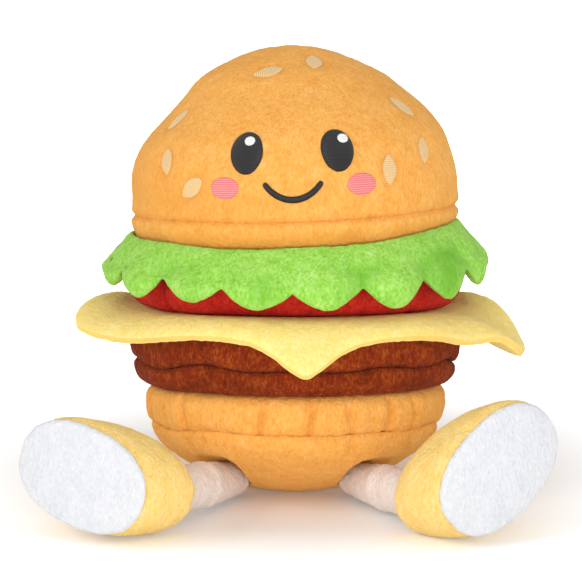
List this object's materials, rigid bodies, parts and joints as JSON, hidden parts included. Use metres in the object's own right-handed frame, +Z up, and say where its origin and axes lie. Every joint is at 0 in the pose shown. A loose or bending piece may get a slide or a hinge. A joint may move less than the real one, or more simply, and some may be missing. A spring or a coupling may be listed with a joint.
{
  "type": "plush hamburger toy",
  "caption": "Stuffed plush hamburger with a face, seated on its flattened bottom bun, with layered filling and floppy legs in shoes.",
  "frame": {"origin": "middle of the flat seat under the bottom bun, on the surface the toy sits on", "axes": "+Z up, -Y the way the face looks, +X to the right of someone who faces the toy"},
  "size_m": [0.2323, 0.2249, 0.2069],
  "materials": {
    "bun_plush": "orange-tan short-pile minky plush",
    "lettuce_plush": "light green short-pile minky plush",
    "tomato_plush": "red short-pile minky plush",
    "cheese_plush": "pale yellow short-pile minky plush",
    "patty_plush": "brown short-pile minky plush",
    "leg_plush": "warm white short-pile minky plush",
    "shoe_plush": "yellow short-pile minky plush",
    "sole_plush": "white short-pile minky plush",
    "black_thread": "black satin-stitch rayon thread",
    "white_thread": "white satin-stitch rayon thread",
    "pink_thread": "pink satin-stitch rayon thread",
    "seed_thread": "cream satin-stitch rayon thread",
    "sewing_thread": "brown polyester sewing thread",
    "fibre_fill": "white polyester fibre fill",
    "pouch_cloth": "unbleached cotton cloth",
    "pellet_plastic": "white polyethylene pellets"
  },
  "bodies": {
    "burger": {"bottom_bun_band": "bun_plush", "bottom_bun_bowl": "bun_plush", "bottom_bun_filling": "fibre_fill", "bottom_bun_seam_thread": "sewing_thread", "bun_patty_stitching": "sewing_thread", "cheese_slice": "cheese_plush", "cheese_tomato_stitching": "sewing_thread", "crown_seam_thread": "sewing_thread", "left_cheek": "pink_thread", "left_eye": "black_thread", "left_eye_glint": "white_thread", "lettuce_bun_stitching": "sewing_thread", "lettuce_leaf": "lettuce_plush", "patty_cheese_stitching": "sewing_thread", "patty_filling": "fibre_fill", "patty_lower_cover": "patty_plush", "patty_seam_thread": "sewing_thread", "patty_upper_cover": "patty_plush", "pellet_pouch": "pouch_cloth", "pellets": "pellet_plastic", "right_cheek": "pink_thread", "right_eye": "black_thread", "right_eye_glint": "white_thread", "sesame_seed_01": "seed_thread", "sesame_seed_02": "seed_thread", "sesame_seed_03": "seed_thread", "sesame_seed_04": "seed_thread", "sesame_seed_05": "seed_thread", "sesame_seed_06": "seed_thread", "sesame_seed_07": "seed_thread", "sesame_seed_08": "seed_thread", "sesame_seed_09": "seed_thread", "sesame_seed_10": "seed_thread", "sesame_seed_11": "seed_thread", "sesame_seed_12": "seed_thread", "sesame_seed_13": "seed_thread", "sesame_seed_14": "seed_thread", "sesame_seed_15": "seed_thread", "smile": "black_thread", "tomato_cover": "tomato_plush", "tomato_filling": "fibre_fill", "tomato_lettuce_stitching": "sewing_thread", "top_bun_base": "bun_plush", "top_bun_crown": "bun_plush", "top_bun_filling": "fibre_fill"},
    "left_hip": {"left_hip_stitching": "sewing_thread"},
    "left_leg": {"left_leg_cover": "leg_plush", "left_leg_filling": "fibre_fill"},
    "left_foot": {"left_shoe_upper": "shoe_plush", "left_shoe_sole": "sole_plush", "left_shoe_filling": "fibre_fill", "left_ankle_thread": "sewing_thread"},
    "right_hip": {"right_hip_stitching": "sewing_thread"},
    "right_leg": {"right_leg_cover": "leg_plush", "right_leg_filling": "fibre_fill"},
    "right_foot": {"right_shoe_upper": "shoe_plush", "right_shoe_sole": "sole_plush", "right_shoe_filling": "fibre_fill", "right_ankle_thread": "sewing_thread"}
  },
  "joints": [
    {"name": "left_hip_turn", "type": "hinge", "parent": "burger", "child": "left_hip", "pos_m": [-0.02908, -0.04003, 0.0094], "axis": [0, 0, -1], "range_deg": [-15, 15]},
    {"name": "left_hip_swing", "type": "hinge", "parent": "left_hip", "child": "left_leg", "pos_m": [-0.02908, -0.04003, 0.0094], "axis": [-0.8746, 0.4848, 0], "range_deg": [-65, 10]},
    {"name": "left_foot_roll", "type": "hinge", "parent": "left_leg", "child": "left_foot", "pos_m": [-0.05402, -0.08502, 0.01699], "axis": [-0.4796, -0.8653, 0.1459], "range_deg": [-97, 3]},
    {"name": "right_hip_turn", "type": "hinge", "parent": "burger", "child": "right_hip", "pos_m": [0.02838, -0.04053, 0.0094], "axis": [0, 0, 1], "range_deg": [-15, 15]},
    {"name": "right_hip_swing", "type": "hinge", "parent": "right_hip", "child": "right_leg", "pos_m": [0.02838, -0.04053, 0.0094], "axis": [-0.8746, -0.4848, 0], "range_deg": [-65, 10]},
    {"name": "right_foot_roll", "type": "hinge", "parent": "right_leg", "child": "right_foot", "pos_m": [0.05346, -0.08579, 0.01453], "axis": [-0.4824, 0.8703, -0.0987], "range_deg": [-65, 35]}
  ]
}
